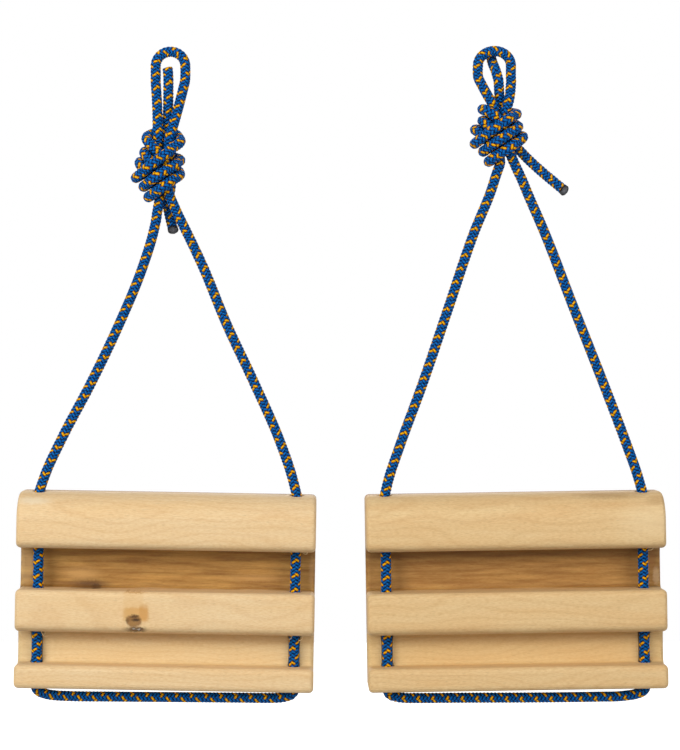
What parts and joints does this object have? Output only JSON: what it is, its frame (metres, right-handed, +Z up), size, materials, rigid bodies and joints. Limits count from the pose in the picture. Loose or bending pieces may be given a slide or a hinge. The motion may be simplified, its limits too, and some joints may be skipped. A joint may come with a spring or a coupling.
{
  "type": "pair of hanging finger boards",
  "caption": "Pair of hanging hardwood finger boards for climbing training, each grooved across its front and slung on a loop of braided cord with an overhand knot.",
  "frame": {"origin": "inner top of the left unit's hanging loop, where a hook bears, in the plane of the cords", "axes": "+Z up, +X to the right as the climber sees it, and the climber faces the -Y side"},
  "size_m": [0.4369, 0.0382, 0.4431],
  "materials": {
    "board_wood": "sanded pale hardwood with fine grain and a thin oil finish",
    "cord_braid": "blue braided accessory cord with pairs of orange yellow flecks"
  },
  "bodies": {
    "hooked_loops": {"left_unit_loop_top": "cord_braid", "right_unit_loop_top": "cord_braid", "right_unit_tail_tip": "cord_braid"},
    "left_unit_hanging_cord": {"left_unit_loop_left_strand": "cord_braid", "left_unit_loop_right_strand": "cord_braid", "left_unit_upper_tail": "cord_braid", "left_unit_knot_left_strand": "cord_braid", "left_unit_knot_middle_strand": "cord_braid", "left_unit_knot_right_strand": "cord_braid", "left_unit_lower_tail": "cord_braid", "left_unit_left_leg": "cord_braid", "left_unit_right_leg": "cord_braid"},
    "left_unit_board": {"left_unit_board": "board_wood", "left_unit_board_cord": "cord_braid"},
    "right_unit_hanging_cord": {"right_unit_loop_left_strand": "cord_braid", "right_unit_loop_right_strand": "cord_braid", "right_unit_upper_tail": "cord_braid", "right_unit_knot_left_strand": "cord_braid", "right_unit_knot_middle_strand": "cord_braid", "right_unit_knot_right_strand": "cord_braid", "right_unit_lower_tail": "cord_braid", "right_unit_left_leg": "cord_braid", "right_unit_right_leg": "cord_braid"},
    "right_unit_board": {"right_unit_board": "board_wood", "right_unit_board_cord": "cord_braid"}
  },
  "joints": [
    {"name": "left_unit_swing", "type": "hinge", "parent": "hooked_loops", "child": "left_unit_hanging_cord", "pos_m": [0, 0, -0.01], "axis": [1, 0, 0], "range_deg": [-45, 45]},
    {"name": "left_unit_board_tilt", "type": "hinge", "parent": "left_unit_hanging_cord", "child": "left_unit_board", "pos_m": [-0.0019, 0, -0.294], "axis": [0.9998, 0, -0.0175], "range_deg": [-30, 30]},
    {"name": "right_unit_swing", "type": "hinge", "parent": "hooked_loops", "child": "right_unit_hanging_cord", "pos_m": [0.2174, 0, -0.0095], "axis": [1, 0, 0], "range_deg": [-45, 45]},
    {"name": "right_unit_board_tilt", "type": "hinge", "parent": "right_unit_hanging_cord", "child": "right_unit_board", "pos_m": [0.2308, 0, -0.294], "axis": [0.9999, 0, 0.0157], "range_deg": [-30, 30]}
  ]
}
